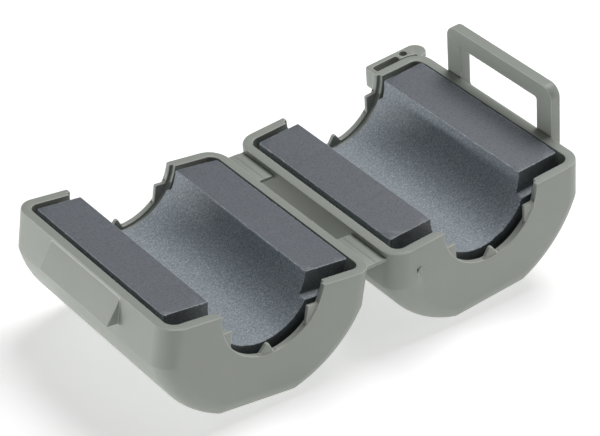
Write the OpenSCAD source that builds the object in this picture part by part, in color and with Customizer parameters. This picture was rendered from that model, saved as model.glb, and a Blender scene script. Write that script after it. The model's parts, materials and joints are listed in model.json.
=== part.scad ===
// Clip-on ferrite bead, drawn open: two casing halves joined by two hinge straps,
// a ferrite half core in each, a latch loop on one half and its catch on the other.
//
// A half is drawn in its own frame: x runs from the hinge wall to the latch wall with 0 on
// the cable's axis, y runs along the cable, and the rim is the plane z = 0 with the half below.

/* [Cable] */
// Diameter of the cable hole through the closed cores
cable_d = 13; // [10:0.1:16]
// How much wider the end cut-outs are than the cable hole, on the radius
cut_margin = 0.3; // [0.1:0.05:0.8]

/* [Casing] */
// Width of one half, from hinge wall to latch wall
case_w = 28; // [23:0.5:36]
// Length of the casing along the cable
case_l = 30; // [25:0.5:40]
// Height of the straight part of the side walls
side_h = 5; // [4:0.1:6.5]
// Width of the flat bottom
bottom_w = 10; // [6:0.5:13]
// Wall thickness
wall = 1.2; // [0.9:0.05:1.5]
// Radius along the edges of the end faces
end_r = 2.4; // [1.6:0.1:3]

/* [Teeth] */
// How far a tooth stands in from the cut-out
tooth_h = 1.2; // [0.5:0.05:1.4]
// Angle of an outer tooth's upper corner, down from the rim
tooth_angle = 25; // [22:1:34]
// Width of the middle tooth at its foot
tooth_w = 1.9; // [1.2:0.1:2.4]
// Width of the middle tooth at its tip
tooth_tip = 0.3; // [0.1:0.05:0.5]
// Part of the wall's thickness in front of a tooth
tooth_set_in = 0.2; // [0.1:0.05:0.4]
// Thickness of the lip that is left where the end walls are recessed about the cut-outs
lip_t = 0.7; // [0.5:0.05:0.8]
// Width of that recess
recess_w = 0.45; // [0.2:0.05:0.6]

/* [Cores] */
// Side play of a core between the walls
core_play = 0.45; // [0.3:0.05:0.6]
// Play of a core at each end
core_end_play = 0.55; // [0.45:0.05:0.7]
// How far the ground faces stand above the rim
core_proud = 0.15; // [0.05:0.05:0.3]
// Depth of the end shoulders below the rim
shoulder_d = 2.65; // [2:0.05:3.2]
// Length of the shoulder at a core's front end
front_shoulder_l = 1.15; // [0.8:0.05:1.5]
// Length of the shoulder at its back end
back_shoulder_l = 0.65; // [0.65:0.05:1.5]
// How far the core of the loop half lies towards its latch wall
loop_core_shift = 0.15; // [0:0.05:0.2]
// How far both cores lie towards the back
core_back_shift = 0.1; // [0:0.05:0.15]

/* [Claws] */
// Width of a claw that holds a core down
claw_w = 1.2; // [0.8:0.1:2]
// How far a claw reaches in from the end wall
claw_reach = 0.9; // [0.6:0.05:1]
// Distance from a cut-out's edge to a claw's middle
claw_inset = 1.4; // [1:0.1:2]

/* [Hinge] */
// Distance between the two bending lines of a strap
strap_span = 2.1; // [1.9:0.05:3]
// Strap thickness
strap_t = 0.5; // [0.4:0.05:0.6]
// Strap width along the cable
strap_w = 6.1; // [4:0.1:7.3]
// Distance between the middles of the two straps
strap_pitch = 20.7; // [18:0.1:21]
// Depth of a strap's middle below the rim
strap_depth = 0.85; // [0.7:0.05:0.9]
// Gap between a strap's rounded end and the wall
strap_gap = 0.08; // [0.05:0.01:0.12]
// Tilt of each half from level, as the clip lies open
open_tilt = 6; // [0:0.5:8]

/* [Latch loop] */
// Length of the loop along the cable
loop_l = 18.8; // [16:0.1:23]
// How far the loop and the catch lie towards the back
loop_shift = 0.25; // [0:0.05:0.5]
// Width of each leg
loop_leg = 2.6; // [2:0.1:3.2]
// Thickness of the loop
loop_t = 1.4; // [1:0.05:1.7]
// Height of the crossbar
loop_bar = 2.25; // [1.5:0.05:2.7]
// Height of the window above the rim
window_h = 4.25; // [3.6:0.05:5]
// Depth of the window below the rim
window_d = 1.5; // [1:0.1:1.8]
// Depth of the loop's bending line below the rim
loop_root_d = 3.3; // [3:0.05:3.4]
// Gap between the loop and the wall, and between its rounded end and its foot
loop_gap = 0.1; // [0.08:0.01:0.15]
// Radius of the loop's top corners
loop_r = 1.5; // [0.8:0.1:2]

/* [Catch] */
// Distance from the rim to the catch's upper edge
catch_top = 0.3; // [0.2:0.05:0.6]
// Play between the closed loop's crossbar and the catch
catch_play = 0.25; // [0.15:0.05:0.4]
// How far the catch stands out from its wall
catch_out = 1.5; // [1:0.05:1.7]
// Play of the catch in the loop's window, at each end
catch_side_play = 0.15; // [0.1:0.05:0.5]

/* [Tie bracket] */
// Width of the slot between the wall and the rail
slot_w = 1.05; // [0.8:0.05:1.3]
// Length of the slot
slot_l = 3.7; // [3:0.1:4.4]
// Thickness of the rail
rail_t = 0.7; // [0.5:0.05:0.9]
// Height of the bracket
bracket_h = 2.6; // [2:0.1:3.2]
// Radius of the bracket's round end at the casing's corner
bracket_end_r = 1.4; // [1.2:0.05:1.5]
// Diameter of the small hole
pin_hole_d = 1; // [0.6:0.1:1.1]
// Width of the slit along the casing's corner
slit_w = 0.15; // [0.1:0.01:0.2]

/* [Hidden] */
$fn = 96;

nylon = [0.60, 0.62, 0.59];
ferrite = [0.28, 0.29, 0.32];

// Outer form of a half
flank_r = sqrt(pow(case_w / 2, 2) + pow(side_h, 2));
case_h = sqrt(pow(flank_r, 2) - pow(bottom_w / 2, 2));
cut_r = cable_d / 2 + cut_margin;

// Core
core_l = case_l - 2 * wall - 2 * core_end_play;
pole_l = core_l - front_shoulder_l - back_shoulder_l;
pole_y = (front_shoulder_l - back_shoulder_l) / 2;
core_corner_r = 0.35;
core_edge_r = 0.55;
core_bevel = 0.8;
core_bottom_gap = 0.05;
claw_gap = 0.12;
claw_bottom = shoulder_d - claw_gap;
claw_top = 0.5;

// Hinge: a strap's ends are round about its bending lines
strap_off = strap_t / 2 + strap_gap;
closed_rim_gap = strap_span - 2 * strap_depth;
axis_x = case_w / 2 + strap_off;

// Catch, seen from its own rim
catch_bottom = window_h - closed_rim_gap - catch_play;
catch_l = loop_l - 2 * loop_leg - 2 * catch_side_play;

// Radius of the window's corners in the latch loop
window_r = 0.4;

// Foot of the latch loop on the loop half's wall
foot_top = loop_root_d + loop_t / 2 + loop_gap;
foot_h = 0.8;
foot_out = loop_gap + loop_t;
foot_root = 0.7 * wall;

// Tie bracket
bracket_d = slot_w + rail_t;
post_t = 0.7;
bracket_corner_r = 0.5;
bracket_bevel = 0.35;
pin_hole_y = 0.9;
pin_hole_wall = 0.5;
slot_r = slot_w / 3;
bracket_end_in = bracket_end_r / 3;
slit_end_in = 0.9;
slit_end = case_w / 2 - slit_end_in;
pit_r = 0.22;

// Mark of the moulding gate on the loop half's front wall
gate_x = -10.5;
gate_z = -3.35;
gate_r = 0.28;
gate_l = 1.1;
gate_out = 0.12;

// Small overlaps that join solids, cuts that run past a face, and a step that keeps the round
// edges of crossing shapes from meeting in one plane
join = 0.3;
past = 1;
apart = 0.01;

// The origin is on the ground, in the middle of the whole open clip
axis_z = (case_h - strap_depth) * cos(open_tilt) - (axis_x - bottom_w / 2) * sin(open_tilt);
function reach(x, z) = strap_span / 2 + (x + axis_x) * cos(open_tilt) - (z + strap_depth) * sin(open_tilt);
loop_reach = reach(case_w / 2 + foot_out, -foot_top - foot_h);
catch_reach = max(reach(case_w / 2 + catch_out, -catch_bottom), reach(case_w / 2, -side_h));
middle_x = (loop_reach - catch_reach) / 2;
middle_y = bracket_d / 2;

// Places something drawn in a half's own frame on the loop side of the open clip
module on_loop_side() {
    translate([strap_span / 2 - middle_x, -middle_y, axis_z])
        rotate([0, -open_tilt, 0])
            translate([axis_x, 0, strap_depth])
                children();
}

// The same on the catch side, which mirrors it about the middle of the straps
module on_catch_side() {
    translate([-strap_span / 2 - middle_x, -middle_y, axis_z])
        rotate([0, open_tilt, 0])
            translate([-axis_x, 0, strap_depth])
                mirror([1, 0, 0])
                    children();
}

// Extrudes an outline drawn in x and z along y, with the middle at y = 0
module along_cable(length) {
    rotate([90, 0, 0])
        linear_extrude(height = length, center = true)
            children();
}

// A rectangle about the origin with round corners
module rounded_rectangle(width, length, r) {
    square([width - 2 * r, length], center = true);
    square([width, length - 2 * r], center = true);
    for (sx = [-1, 1], sy = [-1, 1])
        translate([sx * (width / 2 - r), sy * (length / 2 - r)])
            circle(r);
}

// The form of a half, or of the space in it: three crossing shapes, each with round end edges
module half_form(length, half_w, depth, flank, r) {
    tall = 2 * depth;
    intersection() {
        // round vertical edges
        translate([0, 0, -depth - past])
            linear_extrude(height = tall)
                rounded_rectangle(2 * half_w, length, r);
        // round bottom edges
        rotate([90, 0, 90])
            linear_extrude(height = 2 * half_w + 2 * past, center = true)
                rounded_rectangle(length, 2 * depth, r);
        // round flanks about the cable's axis
        rotate([90, 0, 0])
            rotate_extrude()
                intersection() {
                    rounded_rectangle(2 * flank, length + 2 * apart, r);
                    translate([0, -length])
                        square([2 * flank, 2 * length]);
                }
        // below the rim
        translate([-case_w, -case_l, -2 * case_h])
            cube([2 * case_w, 2 * case_l, 2 * case_h]);
    }
}

// Extrudes an outline drawn in x and z over a tooth's part of the front end wall
module across_lip() {
    translate([0, (tooth_set_in + lip_t - case_l) / 2, 0])
        along_cable(lip_t - tooth_set_in)
            children();
}

// The middle tooth of the front cut-out, which points up
module middle_tooth() {
    tip_r = cut_r - tooth_h;
    across_lip()
        polygon([
            [-tooth_tip / 2, -tip_r],
            [tooth_tip / 2, -tip_r],
            [tooth_w / 2, -cut_r],
            [tooth_w / 2, -cut_r - join],
            [-tooth_w / 2, -cut_r - join],
            [-tooth_w / 2, -cut_r]
        ]);
}

// An outer tooth, with a level top and an upright inner face, so that the mould can open upwards
module outer_tooth() {
    corner_x = (cut_r - tooth_h) * cos(tooth_angle);
    corner_z = (cut_r - tooth_h) * sin(tooth_angle);
    across_lip()
        intersection() {
            circle(cut_r + join);
            translate([-corner_x - cut_r, -corner_z - cut_r])
                square(cut_r);
        }
}

// A claw on an end wall, over a core's end shoulder
module claw() {
    translate([0, -case_l / 2 + wall, 0])
        rotate([90, 0, 90])
            linear_extrude(height = claw_w, center = true)
                polygon([
                    [-join, -claw_top],
                    [0, -claw_top],
                    [claw_reach, -claw_bottom],
                    [-join, -claw_bottom]
                ]);
}

// What both halves of the casing share
module casing_shell() {
    difference() {
        half_form(case_l, case_w / 2, case_h, flank_r, end_r);
        half_form(case_l - 2 * wall, case_w / 2 - wall, case_h - wall, flank_r - wall, end_r - wall);
        // the inside is open at the rim
        translate([0, 0, -side_h / 2])
            linear_extrude(height = side_h)
                rounded_rectangle(case_w - 2 * wall, case_l - 2 * wall, end_r - wall);
        // cut-outs for the cable, each with a recess on the inner side
        rotate([90, 0, 0]) {
            cylinder(r = cut_r, h = case_l + 2 * past, center = true);
            cylinder(r = cut_r + recess_w, h = case_l - 2 * lip_t, center = true);
        }
    }
    for (end = [0, 1])
        mirror([0, end, 0]) {
            middle_tooth();
            outer_tooth();
            mirror([1, 0, 0])
                outer_tooth();
            for (sx = [-1, 1])
                translate([sx * (cut_r + claw_inset), 0, 0])
                    claw();
        }
}

// Outline of the tie bracket from above
module bracket_outline() {
    back = case_l / 2 + bracket_d;
    slot_x = cut_r + post_t;
    end_x = case_w / 2 - bracket_end_in;
    difference() {
        union() {
            translate([cut_r, case_l / 2 - join])
                square([end_x - cut_r, bracket_d + join - bracket_corner_r]);
            translate([cut_r + bracket_corner_r, case_l / 2])
                square([end_x - cut_r - bracket_corner_r, bracket_d]);
            translate([cut_r + bracket_corner_r, back - bracket_corner_r])
                circle(bracket_corner_r);
            translate([end_x, back - bracket_end_r])
                circle(bracket_end_r);
        }
        // slot for a cable tie, closed by the wall
        translate([slot_x, case_l / 2])
            square([slot_l, slot_w / 2]);
        translate([slot_x + slot_l / 2, case_l / 2 + slot_w / 2])
            rounded_rectangle(slot_l, slot_w, slot_r);
        // small hole
        translate([slot_x + slot_l + pin_hole_wall + pin_hole_d / 2, case_l / 2 + pin_hole_y])
            circle(d = pin_hole_d);
        // slit along the casing's corner, with a small pit at its end
        intersection() {
            rounded_rectangle(case_w + 2 * slit_w, case_l + 2 * slit_w, end_r + slit_w);
            translate([slot_x + slot_l / 2, 0])
                square([slit_end - slot_x - slot_l / 2, case_l]);
        }
        translate([slit_end, case_l / 2 - corner_drop(slit_end)])
            circle(pit_r);
    }
}

// How far the casing's round corner lies in from the end face, at a place along x
function corner_drop(x) = end_r - sqrt(pow(end_r, 2) - pow(max(x - case_w / 2 + end_r, 0), 2));

// Tie bracket at the back corner next to the latch wall
module tie_bracket() {
    intersection() {
        translate([0, 0, -bracket_h])
            linear_extrude(height = bracket_h)
                bracket_outline();
        // the lower outer edge is bevelled
        rotate([90, 0, 90])
            linear_extrude(height = 2 * case_w)
                polygon([
                    [0, 0],
                    [case_l / 2 + bracket_d, 0],
                    [case_l / 2 + bracket_d, -bracket_h + bracket_bevel],
                    [case_l / 2 + bracket_d - bracket_bevel, -bracket_h],
                    [0, -bracket_h]
                ]);
    }
}

// Foot on the latch wall that carries the loop's root
module loop_foot() {
    face = case_w / 2;
    translate([0, loop_shift, 0])
        along_cable(loop_l)
            polygon([
                [face - wall / 2, -foot_top],
                [face + foot_out, -foot_top],
                [face + foot_out, -foot_top - foot_h],
                [face - foot_root, -foot_top - foot_h - foot_out - wall / 2]
            ]);
}

// Catch on the latch wall of the other half
module catch() {
    face = case_w / 2;
    translate([0, loop_shift, 0])
        along_cable(catch_l)
            polygon([
                [face - join, -catch_top],
                [face, -catch_top],
                [face + catch_out, -catch_bottom],
                [face - join, -catch_bottom]
            ]);
}

// Low mark left by the moulding gate
module gate_mark() {
    translate([gate_x, -case_l / 2 + wall / 2, gate_z])
        rotate([90, 0, 0])
            linear_extrude(height = wall / 2 + gate_out) {
                square([2 * gate_r, gate_l - 2 * gate_r], center = true);
                for (sz = [-1, 1])
                    translate([0, sz * (gate_l / 2 - gate_r)])
                        circle(gate_r);
            }
}

module loop_half_casing() {
    color(nylon)
        on_loop_side() {
            casing_shell();
            tie_bracket();
            loop_foot();
            gate_mark();
        }
}

module catch_half_casing() {
    color(nylon)
        on_catch_side() {
            casing_shell();
            catch();
        }
}

// A ferrite half core: ground faces above the rim, a shoulder at each end, a half bore
module half_core() {
    inset = wall + core_play;
    half_w = case_w / 2 - inset;
    depth = case_h - wall - core_bottom_gap;
    difference() {
        union() {
            // body below the shoulders; its end edges clear the casing's round corners
            intersection() {
                along_cable(core_l)
                    core_section(half_w, depth, flank_r - inset);
                translate([0, 0, -case_h])
                    linear_extrude(height = case_h - shoulder_d)
                        rounded_rectangle(2 * half_w, core_l, core_edge_r);
                rotate([90, 0, 90])
                    linear_extrude(height = 2 * case_w, center = true)
                        polygon([
                            [-core_l / 2, 0],
                            [-core_l / 2, core_bevel - depth],
                            [core_bevel - core_l / 2, -depth],
                            [core_l / 2 - core_bevel, -depth],
                            [core_l / 2, core_bevel - depth],
                            [core_l / 2, 0]
                        ]);
            }
            // shorter part up to the ground faces
            translate([0, pole_y, 0])
                intersection() {
                    along_cable(pole_l)
                        core_section(half_w, depth, flank_r - inset);
                    translate([0, 0, -shoulder_d - join])
                        linear_extrude(height = case_h)
                            rounded_rectangle(2 * half_w, pole_l, core_corner_r);
                }
        }
        rotate([90, 0, 0])
            cylinder(d = cable_d, h = 2 * case_l, center = true);
    }
}

// Section of a core across the cable, drawn in x and z
module core_section(half_w, depth, flank) {
    intersection() {
        union() {
            circle(flank);
            translate([-half_w, -side_h + core_play])
                square([2 * half_w, side_h]);
        }
        translate([-half_w, -depth])
            square([2 * half_w, depth + core_proud]);
    }
}

module loop_half_core() {
    color(ferrite)
        on_loop_side()
            translate([loop_core_shift, core_back_shift, 0])
                half_core();
}

module catch_half_core() {
    color(ferrite)
        on_catch_side()
            translate([0, core_back_shift, 0])
                half_core();
}

// A flat strap with round ends, centred on y = 0
module hinge_strap() {
    translate([-middle_x, -middle_y, axis_z])
        along_cable(strap_w) {
            square([strap_span, strap_t], center = true);
            for (sx = [-1, 1])
                translate([sx * strap_span / 2, 0])
                    circle(d = strap_t);
        }
}

module front_hinge_strap() {
    color(nylon)
        translate([0, -strap_pitch / 2, 0])
            hinge_strap();
}

module back_hinge_strap() {
    color(nylon)
        translate([0, strap_pitch / 2, 0])
            hinge_strap();
}

// The loop as a flat frame in y and z, with round top corners
module loop_frame() {
    top = window_h + loop_bar;
    difference() {
        union() {
            translate([-loop_l / 2, -loop_root_d])
                square([loop_l, loop_root_d + top - loop_r]);
            translate([-loop_l / 2 + loop_r, 0])
                square([loop_l - 2 * loop_r, top]);
            for (sy = [-1, 1])
                translate([sy * (loop_l / 2 - loop_r), top - loop_r])
                    circle(loop_r);
        }
        translate([0, (window_h - window_d) / 2])
            rounded_rectangle(loop_l - 2 * loop_leg, window_h + window_d, window_r);
    }
}

module latch_loop() {
    inner = case_w / 2 + loop_gap;
    color(nylon)
        on_loop_side() {
            translate([inner, loop_shift, 0])
                rotate([90, 0, 90])
                    linear_extrude(height = loop_t)
                        loop_frame();
            // the root is round about the bending line
            translate([inner + loop_t / 2, loop_shift, -loop_root_d])
                rotate([90, 0, 0])
                    cylinder(d = loop_t, h = loop_l, center = true);
        }
}

loop_half_casing();
catch_half_casing();
loop_half_core();
catch_half_core();
front_hinge_strap();
back_hinge_strap();
latch_loop();
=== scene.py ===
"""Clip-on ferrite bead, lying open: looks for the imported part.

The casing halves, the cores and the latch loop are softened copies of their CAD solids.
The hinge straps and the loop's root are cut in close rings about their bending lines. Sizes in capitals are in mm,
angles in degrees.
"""

import json
import math

import bmesh
import bpy
from mathutils import Matrix, Vector, noise


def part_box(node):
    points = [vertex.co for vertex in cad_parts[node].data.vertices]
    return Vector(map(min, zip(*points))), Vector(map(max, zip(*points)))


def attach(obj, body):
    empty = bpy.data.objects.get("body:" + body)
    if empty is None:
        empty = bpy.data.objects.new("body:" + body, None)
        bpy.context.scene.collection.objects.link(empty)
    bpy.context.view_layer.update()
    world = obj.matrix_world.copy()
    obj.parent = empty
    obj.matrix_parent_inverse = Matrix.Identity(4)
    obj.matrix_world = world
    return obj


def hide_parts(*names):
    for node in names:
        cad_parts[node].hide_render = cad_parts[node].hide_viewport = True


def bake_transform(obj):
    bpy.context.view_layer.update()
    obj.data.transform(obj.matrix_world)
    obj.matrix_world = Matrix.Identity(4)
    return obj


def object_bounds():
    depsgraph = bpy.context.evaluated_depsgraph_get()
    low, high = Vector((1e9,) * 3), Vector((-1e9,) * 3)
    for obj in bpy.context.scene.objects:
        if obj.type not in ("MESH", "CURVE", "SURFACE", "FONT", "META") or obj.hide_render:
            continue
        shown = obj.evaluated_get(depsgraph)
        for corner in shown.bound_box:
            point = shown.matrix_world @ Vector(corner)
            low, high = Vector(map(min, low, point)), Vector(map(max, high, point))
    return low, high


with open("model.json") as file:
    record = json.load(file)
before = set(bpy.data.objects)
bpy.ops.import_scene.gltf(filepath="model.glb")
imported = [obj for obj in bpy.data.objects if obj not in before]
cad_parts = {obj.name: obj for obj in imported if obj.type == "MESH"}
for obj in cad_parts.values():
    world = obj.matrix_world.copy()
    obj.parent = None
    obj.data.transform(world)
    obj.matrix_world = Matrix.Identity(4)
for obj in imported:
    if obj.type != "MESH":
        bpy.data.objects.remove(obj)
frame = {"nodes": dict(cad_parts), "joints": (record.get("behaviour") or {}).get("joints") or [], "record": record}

cad_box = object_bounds()

MM = 0.001
JOINTS = {j["name"]: j for j in frame["joints"]}
MOUNTS = {m["name"]: m for m in frame["record"]["mounts"]}

# ------------------------------------------------------------------ places, from the frame
# These are in metres and radians. A half's own frame: x from its hinge wall to its latch wall,
# y along the cable, z = 0 at the rim.
LOOP_AXIS = Vector(JOINTS["strap_fold"]["pos_m"])
CATCH_AXIS = Vector(JOINTS["catch_half_fold"]["pos_m"])
LATCH_AXIS = Vector(JOINTS["latch_flex"]["pos_m"])
TILT = math.radians(-JOINTS["strap_fold"]["range_deg"][0])
BORE_CENTRE = Vector(MOUNTS["cable_channel"]["pos_m"])
MIDDLE = (LOOP_AXIS + CATCH_AXIS) / 2
UP = Vector((0, 0, 1))


def half_matrix(side):
    """From a half's own frame to the row frame. side is 1 for the loop half and -1 for the catch half."""
    across = Vector((side * math.cos(TILT), 0, math.sin(TILT)))
    up = Vector((-side * math.sin(TILT), 0, math.cos(TILT)))
    centre = Vector((MIDDLE.x + side * (BORE_CENTRE.x - MIDDLE.x), BORE_CENTRE.y, BORE_CENTRE.z))
    turned_half = Matrix((across, (0, 1, 0), up)).transposed()
    return Matrix.Translation(centre) @ turned_half.to_4x4()


LOOP_HALF = half_matrix(1)
CATCH_HALF = half_matrix(-1)


# ------------------------------------------------------------------ node materials
class Nodes:
    """A short way to build one material's nodes. A value is a number, a colour or a node's output."""

    def __init__(self, name):
        self.material = bpy.data.materials.new(name)
        self.material.use_nodes = True
        self.tree = self.material.node_tree
        self.shader = self.tree.nodes["Principled BSDF"]
        self.place = self.tree.nodes.new("ShaderNodeTexCoord").outputs["Object"]

    def put(self, socket, value):
        if isinstance(value, bpy.types.NodeSocket):
            self.tree.links.new(value, socket)
        else:
            socket.default_value = value

    def fill(self, node, **values):
        """Sets a node's properties and inputs by name, with _ for each space in an input's name."""
        for key, value in values.items():
            if hasattr(node, key):
                setattr(node, key, value)
            else:
                self.put(node.inputs[key.replace("_", " ")], value)

    def add(self, kind, **values):
        node = self.tree.nodes.new(kind)
        self.fill(node, **values)
        return node

    def noise(self, per_mm, detail=2.0, roughness=0.5):
        """Noise from 0 to 1 over the object. per_mm is its repeats per mm: one number, or one per axis."""
        along = per_mm if isinstance(per_mm, tuple) else (per_mm, per_mm, per_mm)
        place = self.add("ShaderNodeMapping", Vector=self.place, Scale=[n / MM for n in along])
        node = self.add("ShaderNodeTexNoise", Scale=1.0, Detail=detail, Roughness=roughness)
        self.put(node.inputs["Vector"], place.outputs["Vector"])
        return node.outputs["Fac"]

    def ramp(self, value, *stops):
        """A ramp of greys with stops of (place, grey)."""
        node = self.add("ShaderNodeValToRGB", Fac=value)
        for element, (place, grey) in zip(node.color_ramp.elements, stops):
            element.position = place
            element.color = (grey, grey, grey, 1)
        return node.outputs["Color"]

    def mix(self, share, first, second):
        """Blends two colours: share 0 is the first one and 1 the second."""
        node = self.add("ShaderNodeMix", data_type="RGBA")
        self.put(node.inputs[0], share)
        for socket, value in ((node.inputs[6], first), (node.inputs[7], second)):
            self.put(socket, (*value, 1) if isinstance(value, tuple) else value)
        return node.outputs[2]

    def math(self, operation, first, second):
        node = self.add("ShaderNodeMath", operation=operation)
        self.put(node.inputs[0], first)
        self.put(node.inputs[1], second)
        return node.outputs[0]

    def remap(self, value, low, high):
        """Spreads a value from 0 to 1 over low to high."""
        return self.add("ShaderNodeMapRange", Value=value, To_Min=low, To_Max=high).outputs["Result"]

    def attribute(self, name):
        return self.add("ShaderNodeAttribute", attribute_name=name).outputs["Fac"]

    def bump(self, height, depth_mm):
        return self.add("ShaderNodeBump", Strength=1.0, Distance=depth_mm * MM, Height=height)

    def bumps(self, coarse, coarse_mm, fine, fine_mm):
        """The normals of two reliefs, the fine one on top of the coarse one."""
        below = self.bump(coarse, coarse_mm)
        above = self.bump(fine, fine_mm)
        self.put(above.inputs["Normal"], below.outputs["Normal"])
        return above.outputs["Normal"]


def nylon():
    """Satin moulded nylon: grey with a green cast, slow flow tones, fine texture, and edges that are a little
    glossier and lightened by a painted highlight.
    """
    m = Nodes("satin_nylon")
    flow = m.noise((0.09, 0.045, 0.07), detail=3)
    cloud = m.noise(0.5, detail=4, roughness=0.6)
    grain = m.noise(9.0, detail=2)
    waves = m.noise(0.35, detail=2)
    edge = m.attribute("edge")
    tone = m.mix(flow, (0.300, 0.324, 0.291), (0.345, 0.369, 0.333))
    tone = m.mix(m.remap(cloud, 0.0, 0.28), tone, (0.283, 0.302, 0.271))
    tone = m.mix(m.remap(grain, 0.0, 0.14), tone, (0.405, 0.425, 0.389))
    # painted highlight: the bevel ridges marked in edge are lightened in colour
    tone = m.mix(m.math("MULTIPLY", edge, 0.75), tone, (0.60, 0.62, 0.575))
    rough = m.math("ADD", m.remap(cloud, 0.40, 0.50), m.remap(grain, -0.03, 0.03))
    rough = m.math("SUBTRACT", rough, m.math("MULTIPLY", edge, 0.06))
    m.fill(
        m.shader, Base_Color=tone, Roughness=rough, IOR=1.5,
        Subsurface_Weight=0.06, Subsurface_Radius=(0.0011, 0.001, 0.0009), Subsurface_Scale=0.4,
        Normal=m.bumps(waves, 0.012, grain, 0.0035))
    return m.material


def fresh_chips(m, edge):
    """Small bright breaks here and there along a core's edges."""
    spots = m.ramp(m.noise(1.5, detail=2, roughness=0.7), (0.60, 0.0), (0.63, 1.0))
    return m.math("MULTIPLY", spots, m.ramp(edge, (0.35, 0.0), (0.6, 0.9)))


def ground_ferrite():
    """The mating faces: ground flat, matt, with faint grinding lines and fine pores."""
    m = Nodes("ground_ferrite")
    lines = m.noise((5.5, 0.26, 5.5), detail=3, roughness=0.7)
    grain = m.noise(4.2, detail=3, roughness=0.7)
    cloud = m.noise(0.22, detail=3)
    pores = m.ramp(m.noise(3.6, detail=2, roughness=0.8), (0.28, 1.0), (0.36, 0.0))
    edge = m.attribute("edge")
    tone = m.mix(cloud, (0.108, 0.126, 0.153), (0.130, 0.149, 0.179))
    tone = m.mix(m.remap(lines, 0.0, 0.45), tone, (0.138, 0.147, 0.167))
    tone = m.mix(m.ramp(grain, (0.36, 0.75), (0.56, 0.0)), tone, (0.060, 0.066, 0.078))
    tone = m.mix(m.math("MULTIPLY", pores, 0.55), tone, (0.03, 0.032, 0.038))
    tone = m.mix(m.math("MULTIPLY", edge, 0.06), tone, (0.20, 0.21, 0.24))
    tone = m.mix(fresh_chips(m, edge), tone, (0.62, 0.64, 0.66))
    m.fill(
        m.shader, Base_Color=tone, Roughness=m.remap(lines, 0.46, 0.62), IOR=1.9,
        Specular_IOR_Level=0.35, Normal=m.bumps(lines, 0.005, grain, 0.004))
    return m.material


def fired_ferrite(name, shade):
    """As it leaves the kiln: grey-blue, grainy, with bright crystals. shade darkens all but the chips; below 1 it
    makes a copy with painted shade.
    """
    def shaded(*colour):
        return tuple(shade * c for c in colour)

    m = Nodes(name)
    cloud = m.noise(0.3, detail=3)
    grain = m.noise(3.6, detail=5, roughness=0.85)
    fine = m.noise(6.5, detail=3, roughness=0.8)
    speck = m.ramp(m.noise(5.0, detail=1, roughness=0.6), (0.58, 0.0), (0.68, 1.0))
    pit = m.ramp(m.noise(3.4, detail=2, roughness=0.8), (0.28, 1.0), (0.38, 0.0))
    edge = m.attribute("edge")
    tone = m.mix(cloud, shaded(0.176, 0.212, 0.243), shaded(0.210, 0.248, 0.281))
    tone = m.mix(m.ramp(grain, (0.42, 0.0), (0.62, 0.9)), tone, shaded(0.37, 0.42, 0.46))
    tone = m.mix(m.ramp(fine, (0.34, 0.75), (0.50, 0.0)), tone, shaded(0.100, 0.122, 0.143))
    tone = m.mix(m.math("MULTIPLY", speck, 0.6), tone, shaded(0.52, 0.56, 0.60))
    tone = m.mix(m.math("MULTIPLY", pit, 0.6), tone, shaded(0.030, 0.034, 0.040))
    tone = m.mix(m.math("MULTIPLY", edge, 0.06), tone, shaded(0.26, 0.28, 0.31))
    tone = m.mix(fresh_chips(m, edge), tone, (0.55, 0.57, 0.59))
    m.fill(
        m.shader, Base_Color=tone, Roughness=m.remap(fine, 0.48, 0.78), IOR=1.9,
        Specular_IOR_Level=0.4, Normal=m.bumps(grain, 0.035, fine, 0.02))
    return m.material


NYLON = nylon()
GROUND = ground_ferrite()
FIRED = fired_ferrite("fired_ferrite", 1.0)
# painted shade: the fired ferrite darkened for the end faces, which sit in shadow against the casing's end walls
SHADED_END_FERRITE = fired_ferrite("shaded_end_ferrite", 0.28)

# ------------------------------------------------------------------ mesh helpers
SAME_POINT = 0.002
SAME_PLANE = 0.3
EVEN_WEIGHT = 60


def cad_mesh(node):
    """A CAD node's mesh with its shared points joined and its flat faces whole."""
    bm = bmesh.new()
    bm.from_mesh(frame["nodes"][node].data)
    bmesh.ops.remove_doubles(bm, verts=bm.verts, dist=SAME_POINT * MM)
    bmesh.ops.dissolve_degenerate(bm, edges=bm.edges, dist=SAME_POINT * MM)
    bmesh.ops.dissolve_limit(
        bm, angle_limit=math.radians(SAME_PLANE), use_dissolve_boundaries=False,
        verts=bm.verts, edges=bm.edges, delimit=set())
    bmesh.ops.recalc_face_normals(bm, faces=bm.faces)
    return bm


def sharp_edges(bm, degrees):
    return [e for e in bm.edges if e.is_manifold and e.calc_face_angle(0) > math.radians(degrees)]


def soften(bm, width_mm, edges):
    """Bevels the given edges and marks the ridge of each bevel in the point attribute edge."""
    mark = bm.verts.layers.float.new("edge")
    made = bmesh.ops.bevel(
        bm, geom=edges, offset=width_mm * MM, offset_type="OFFSET", segments=2, profile=0.5,
        affect="EDGES", clamp_overlap=False, loop_slide=True)
    strips = set(made["faces"])
    for vert in made["verts"]:
        vert[mark] = 1.0 if strips.issuperset(vert.link_faces) else 0.0
    return made["verts"]


def finished(name, bm, materials):
    """Turns a bmesh into a shown object with smooth shading and even normals."""
    bmesh.ops.triangulate(bm, faces=[f for f in bm.faces if len(f.verts) > 4])
    mesh = bpy.data.meshes.new(name)
    bm.to_mesh(mesh)
    bm.free()
    for material in materials:
        mesh.materials.append(material)
    mesh.shade_smooth()
    piece = bpy.data.objects.new(name, mesh)
    bpy.context.scene.collection.objects.link(piece)
    even = piece.modifiers.new("even_normals", "WEIGHTED_NORMAL")
    even.keep_sharp = True
    even.weight = EVEN_WEIGHT
    return piece


# ------------------------------------------------------------------ casing halves
EDGE_RADIUS = 0.11
NYLON_SHARP = 24


def casing_half(name, node, body):
    bm = cad_mesh(node)
    soften(bm, EDGE_RADIUS, sharp_edges(bm, NYLON_SHARP))
    piece = finished(name, bm, [NYLON])
    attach(piece, body)
    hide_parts(node)


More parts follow.
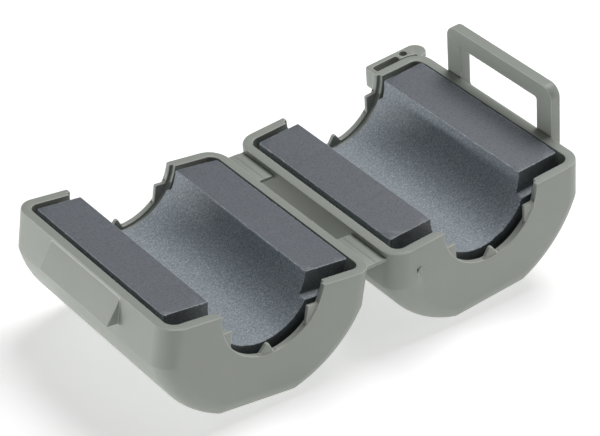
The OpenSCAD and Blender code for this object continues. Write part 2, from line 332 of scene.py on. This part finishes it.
# ------------------------------------------------------------------ ferrite half cores
CORE_EDGE = 0.12
CORE_SHARP = 40
CHIP_STEP = 0.45
WEAR_SIZE = 0.8
WEAR_DEPTH = 0.012
CHIP_SIZE = 1.7
CHIP_DEPTH = 0.35
GROUND_SLACK = 0.03
# plain numbers from 0 to 1: the noise above which an edge chips, and how squarely a face has to
# look up to be ground, or along the cable to take the painted shade of the end faces
CHIP_LEVEL = 0.32
FACES_UP = 0.995
FACES_ALONG = 0.8
NOISE_SHIFT = Vector((7.3, 3.1, 5.7))


def ridges(bm):
    """A core's outward edges. The inward ones at its shoulders stay as they are."""
    return [e for e in sharp_edges(bm, CORE_SHARP) if e.is_convex]


def wear(bm, rounded, seed):
    """Pushes a core's rounded edges in, a hair all along and deeper where they are chipped."""
    middle = sum((v.co for v in bm.verts), Vector()) / len(bm.verts)
    shift = seed * NOISE_SHIFT
    for vert in rounded:
        rub = noise.noise(vert.co / (WEAR_SIZE * MM) + shift)
        chip = max(0.0, noise.noise(vert.co / (CHIP_SIZE * MM) + 3 * shift) - CHIP_LEVEL)
        inward = (middle - vert.co).normalized()
        vert.co += inward * (WEAR_DEPTH * (1 + rub) + CHIP_DEPTH * chip) * MM


def core_half(name, node, body, place, seed):
    """A core with chipped edges: ground top faces, end faces darkened by painted shade, and all else as fired."""
    bm = cad_mesh(node)
    own = place.inverted()
    for edge in [e for e in ridges(bm) if e.calc_length() > 2 * CHIP_STEP * MM]:
        cuts = int(edge.calc_length() / (CHIP_STEP * MM))
        bmesh.ops.subdivide_edges(bm, edges=[edge], cuts=cuts, use_grid_fill=False)
    top = max((own @ v.co).z for v in bm.verts)
    wear(bm, soften(bm, CORE_EDGE, ridges(bm)), seed)
    up = (place.to_3x3() @ UP).normalized()
    for face in bm.faces:
        level = max((own @ v.co).z for v in face.verts)
        ground = face.normal.dot(up) > FACES_UP and level > top - GROUND_SLACK * MM
        # faces along the cable take the darkened copy of the fired ferrite, a painted shade
        shaded_end = abs(face.normal.y) > FACES_ALONG
        face.material_index = 0 if ground else 2 if shaded_end else 1
    piece = finished(name, bm, [GROUND, FIRED, SHADED_END_FERRITE])
    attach(piece, body)
    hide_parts(node)


# ------------------------------------------------------------------ latch loop
TONGUE_DEPTH = 0.4
TONGUE_GAP = 0.01
ROOT_REACH = 0.75
ROOT_STEPS = 9


def add_tongue(bm, root, half_t, y_low, y_high, root_end):
    """A block from the bending line at the root down into the foot. Its sizes are in the half's frame.

    It is a hair smaller than the loop, so that no two faces lie in one plane.
    """
    tongue = bmesh.ops.create_cube(bm, size=1)["verts"]
    gap = TONGUE_GAP * MM
    low = root_end - TONGUE_DEPTH * MM
    centre = Vector((root.x, (y_high + y_low) / 2, (root.z + low) / 2))
    size = (2 * (half_t - gap), y_high - y_low - 2 * gap, root.z - low, 1)
    shape = Matrix.Translation(centre) @ Matrix.Diagonal(size)
    bmesh.ops.transform(bm, matrix=LOOP_HALF @ shape, verts=tongue)


def latch_frame():
    """The loop with a tongue that joins its root to the foot, cut in close slices about the bending line."""
    node = "latch_loop"
    bm = cad_mesh(node)
    own = LOOP_HALF.inverted()
    root = own @ LATCH_AXIS
    points = [own @ v.co for v in bm.verts]
    half_t = max(abs(p.x - root.x) for p in points)
    along = [p.y for p in points]
    root_end = min(p.z for p in points)
    soften(bm, EDGE_RADIUS, sharp_edges(bm, NYLON_SHARP))
    add_tongue(bm, root, half_t, min(along), max(along), root_end)
    up = LOOP_HALF.to_3x3() @ UP
    bend = ROOT_REACH * MM
    for i in range(ROOT_STEPS + 1):
        level = LATCH_AXIS + up * (2 * i / ROOT_STEPS - 1) * bend
        bmesh.ops.bisect_plane(
            bm, geom=bm.verts[:] + bm.edges[:] + bm.faces[:], plane_co=level, plane_no=up)
    piece = finished("latch_frame", bm, [NYLON])
    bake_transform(piece)
    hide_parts(node)


# ------------------------------------------------------------------ hinge straps
STRAP_CORNER = 0.07
STRAP_PINCH = 0.05
PINCH_WIDTH = 0.3
STRAP_INSET = 0.75
STRAP_STEPS = 36
CORNER_POINTS = 4


def strap_ring(bm, mark, x, z, y_low, y_high, half_t):
    """One section across a strap: a rectangle with round corners, marked along their ridges."""
    ring = []
    corner = STRAP_CORNER * MM
    turn = 90 / (CORNER_POINTS - 1)
    for out, rise, first in ((1, 1, 0), (-1, 1, 90), (-1, -1, 180), (1, -1, 270)):
        side_y = y_high if out > 0 else y_low
        for k in range(CORNER_POINTS):
            angle = math.radians(first + turn * k)
            y = side_y - out * corner + corner * math.cos(angle)
            level = rise * (half_t - corner) + corner * math.sin(angle)
            vert = bm.verts.new((x, y, z + level))
            vert[mark] = 1.0 if 0 < k < CORNER_POINTS - 1 else 0.0
            ring.append(vert)
    return ring


def strap_part(name, node, axis):
    """Half of a strap, from inside a half's wall to the strap's middle, which bends at one line."""
    low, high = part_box(node)
    side = 1 if axis.x > MIDDLE.x else -1
    span = abs(axis.x - MIDDLE.x)
    inset = STRAP_INSET * MM
    bm = bmesh.new()
    mark = bm.verts.layers.float.new("edge")
    rings = []
    for i in range(STRAP_STEPS + 1):
        # distance from the bending line, positive towards the strap's middle
        d = -inset + (inset + span) * i / STRAP_STEPS
        pinch = STRAP_PINCH * MM * math.exp(-((d / (PINCH_WIDTH * MM)) ** 2))
        half_t = (high.z - low.z) / 2 - pinch
        rings.append(strap_ring(bm, mark, axis.x - side * d, axis.z, low.y, high.y, half_t))
    for ring, following in zip(rings, rings[1:]):
        for k in range(len(ring)):
            n = (k + 1) % len(ring)
            bm.faces.new((ring[k], ring[n], following[n], following[k]))
    bm.faces.new(rings[0])
    bm.faces.new(reversed(rings[-1]))
    bmesh.ops.recalc_face_normals(bm, faces=bm.faces)
    piece = finished(name, bm, [NYLON])
    if side > 0:
        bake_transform(piece)
    else:
        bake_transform(piece)
    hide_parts(node)


# ------------------------------------------------------------------ floor, light, camera
FLOOR_REACH = 1500
FLOOR_GLOW = 0.52
SKY_GLOW = 0.13
LIT_HEIGHT = 12
WHITE = (1, 1, 1, 1)


def floor_material():
    m = Nodes("pale_floor")
    tone = m.mix(m.noise(0.02, detail=2), (0.78, 0.78, 0.78), (0.80, 0.80, 0.80))
    m.fill(
        m.shader, Base_Color=tone, Roughness=m.remap(m.noise(0.4, detail=2), 0.8, 0.9),
        Specular_IOR_Level=0.1, Emission_Color=WHITE, Emission_Strength=FLOOR_GLOW)
    return m.material


def make_floor():
    mesh = bpy.data.meshes.new("floor")
    r = FLOOR_REACH * MM
    mesh.from_pydata([(-r, -r, 0), (r, -r, 0), (r, r, 0), (-r, r, 0)], [], [(0, 1, 2, 3)])
    mesh.materials.append(floor_material())
    floor = bpy.data.objects.new("floor", mesh)
    bpy.context.scene.collection.objects.link(floor)


def turned(azimuth, elevation):
    """A direction away from the object: azimuth 0 is in front of it and 90 to its right."""
    a, e = math.radians(azimuth), math.radians(elevation)
    return Vector((math.sin(a) * math.cos(e), -math.cos(a) * math.cos(e), math.sin(e)))


def softbox(name, azimuth, elevation, distance, width, height, power):
    """An oval lamp that faces the object, with its sizes in metres and its power in watts."""
    light = bpy.data.lights.new(name, "AREA")
    light.shape = "ELLIPSE"
    light.size = width
    light.size_y = height
    light.energy = power
    lamp = bpy.data.objects.new(name, light)
    away = turned(azimuth, elevation)
    lamp.location = UP * LIT_HEIGHT * MM + away * distance
    lamp.rotation_mode = "QUATERNION"
    lamp.rotation_quaternion = away.to_track_quat("Z", "Y")
    bpy.context.scene.collection.objects.link(lamp)


def make_lights():
    softbox("top_softbox", 112, 65, 0.45, 0.30, 0.30, 1.52)
    # low and flat, so that the half on the left keeps it out of the other half's bore
    softbox("left_softbox", -118, -1, 0.40, 0.24, 0.03, 0.92)
    softbox("right_softbox", 62, 14, 0.45, 0.20, 0.20, 0.28)
    world = bpy.data.worlds.new("studio")
    world.use_nodes = True
    background = world.node_tree.nodes["Background"]
    background.inputs["Color"].default_value = WHITE
    background.inputs["Strength"].default_value = SKY_GLOW
    bpy.context.scene.world = world


# the camera was fitted to the outline in the photo
CAMERA_AZIMUTH = -37.94
CAMERA_ELEVATION = 34.05
CAMERA_ROLL = 1.47
CAMERA_DISTANCE = 302.65
CAMERA_LENS = 158.55
CAMERA_FILM = 36
AIM_FROM_CENTRE = Vector((0.55, 0.41, -1.28))


def make_camera():
    lens = bpy.data.cameras.new("camera")
    lens.lens = CAMERA_LENS
    lens.sensor_width = CAMERA_FILM
    lens.clip_start = 0.01
    lens.clip_end = 10
    camera = bpy.data.objects.new("camera", lens)
    back = turned(CAMERA_AZIMUTH, CAMERA_ELEVATION)
    aim = (cad_box[0] + cad_box[1]) / 2 + AIM_FROM_CENTRE * MM
    camera.location = aim + back * CAMERA_DISTANCE * MM
    camera.rotation_mode = "QUATERNION"
    roll = Matrix.Rotation(math.radians(CAMERA_ROLL), 4, "Z").to_quaternion()
    camera.rotation_quaternion = (-back).to_track_quat("-Z", "Y") @ roll
    bpy.context.scene.collection.objects.link(camera)
    bpy.context.scene.camera = camera


make_camera()
make_floor()
make_lights()
bpy.context.scene.view_settings.view_transform = "Standard"

casing_half("loop_half_shell", "loop_half_casing", "loop_half")
casing_half("catch_half_shell", "catch_half_casing", "catch_half")
core_half("loop_half_ferrite", "loop_half_core", "loop_half", LOOP_HALF, 1)
core_half("catch_half_ferrite", "catch_half_core", "catch_half", CATCH_HALF, 2)
latch_frame()
for where in ("front", "back"):
    strap = f"{where}_hinge_strap"
    strap_part(f"{where}_strap_loop_end", strap, LOOP_AXIS)
    strap_part(f"{where}_strap_catch_end", strap, CATCH_AXIS)
